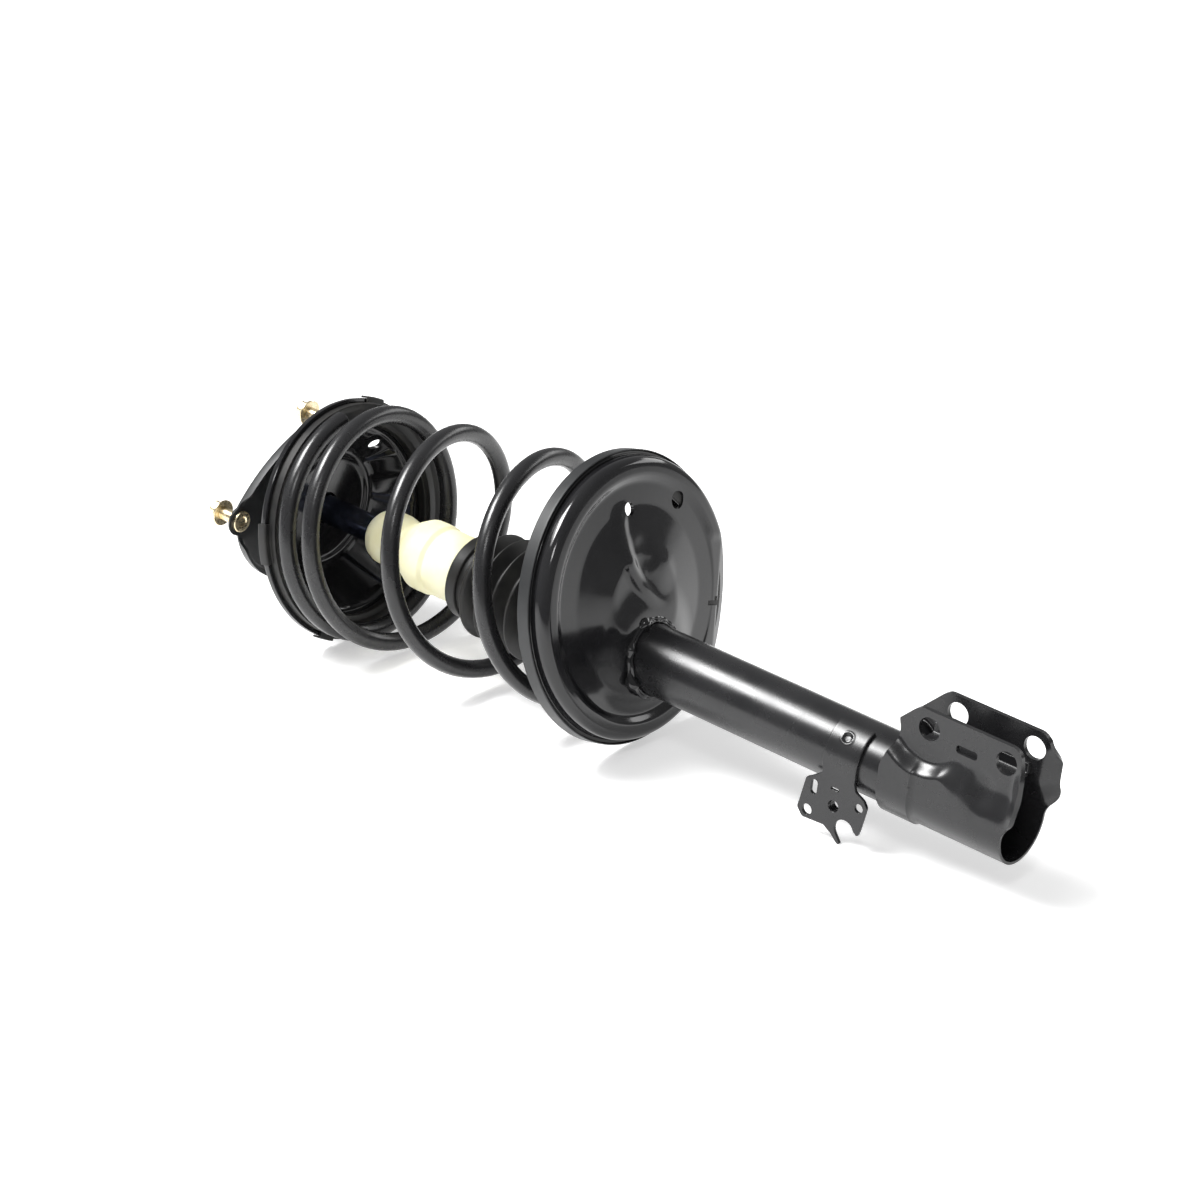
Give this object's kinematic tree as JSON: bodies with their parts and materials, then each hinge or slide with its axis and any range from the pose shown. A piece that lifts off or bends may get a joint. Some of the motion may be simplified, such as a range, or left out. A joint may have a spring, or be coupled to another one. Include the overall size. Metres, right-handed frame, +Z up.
{
  "type": "suspension strut assembly",
  "caption": "Front suspension strut with damper, coil spring, tilted spring seats, swivelling top mount, dust boot and a clamp bracket for the knuckle.",
  "frame": {"origin": "centre of the top mount's stud circle, in the plane of its mating face", "axes": "the strut lies down; +X towards the knuckle bracket, along the floor under the upper spring seat's rim and the hose hook; +Y along the knuckle bolts, away from the hose bracket; +Z up, the side of the bracket's ears. The damper's axis dips 3.98 degrees below +X."},
  "size_m": [0.7367, 0.216, 0.2179],
  "materials": {
    "black_paint": "gloss black e-coat",
    "spring_paint": "satin black powder coat",
    "zinc_yellow": "yellow zinc plating",
    "plain_steel": "bare machined steel",
    "bearing_steel": "polished bearing steel",
    "rod_chrome": "dark polished rod",
    "black_rubber": "black rubber",
    "stop_foam": "cream microcellular foam",
    "cage_plastic": "natural plastic",
    "guide_iron": "sintered iron",
    "bush_bronze": "lined bronze",
    "band_plastic": "filled plastic band"
  },
  "bodies": {
    "strut_body": {"strut_tube": "black_paint", "bottom_cap": "black_paint", "tube_cap": "black_paint", "rod_seal": "black_rubber", "rod_guide": "guide_iron", "guide_bush": "bush_bronze", "pressure_tube": "plain_steel", "base_valve": "guide_iron", "lower_spring_seat": "black_paint", "seat_collar": "black_paint", "lower_spring_insulator": "black_rubber", "coil_spring": "spring_paint", "dust_boot": "black_rubber", "knuckle_bracket_outer": "black_paint", "knuckle_bracket_inner": "black_paint", "hose_bracket": "black_paint", "hose_weld_nut": "black_paint"},
    "upper_seat": {"upper_spring_seat": "black_paint", "bearing_inner_race": "bearing_steel", "upper_spring_insulator": "black_rubber"},
    "top_mount": {"mount_plate": "black_paint", "mount_studs": "zinc_yellow", "stud_nuts": "zinc_yellow", "mount_rubber": "black_rubber", "mount_core": "plain_steel", "top_washer": "plain_steel", "rod_nut": "zinc_yellow", "bearing_outer_race": "bearing_steel", "piston_rod": "rod_chrome", "rebound_stop": "plain_steel", "piston": "guide_iron", "piston_band": "band_plastic", "valve_discs": "plain_steel", "piston_nut": "plain_steel"},
    "ball_cage": {"bearing_cage": "cage_plastic", "bearing_balls": "bearing_steel"},
    "bump_stop_body": {"bump_stop": "stop_foam"}
  },
  "joints": [
    {"name": "rod_slide", "type": "slide", "parent": "strut_body", "child": "upper_seat", "axis": [0.9976, 0, -0.0694], "range_m": [0, 0.094], "stiffness_N_per_m": 19500, "deforming": ["coil_spring"]},
    {"name": "mount_swivel", "type": "hinge", "parent": "upper_seat", "child": "top_mount", "pos_m": [0, 0, 0], "axis": [0.9976, 0, -0.0694], "continuous": true},
    {"name": "cage_turn", "type": "hinge", "parent": "upper_seat", "child": "ball_cage", "pos_m": [0, 0, 0], "axis": [0.9976, 0, -0.0694], "continuous": true},
    {"name": "bump_stop_slide", "type": "slide", "parent": "strut_body", "child": "bump_stop_body", "axis": [0.9976, 0, -0.0694], "range_m": [0, 0.03948], "deforming": ["dust_boot"]}
  ],
  "couplings": [
    {"joint": "cage_turn", "follows": "mount_swivel", "ratio": 0.5},
    {"joint": "bump_stop_slide", "follows": "rod_slide", "ratio": 0.42}
  ]
}
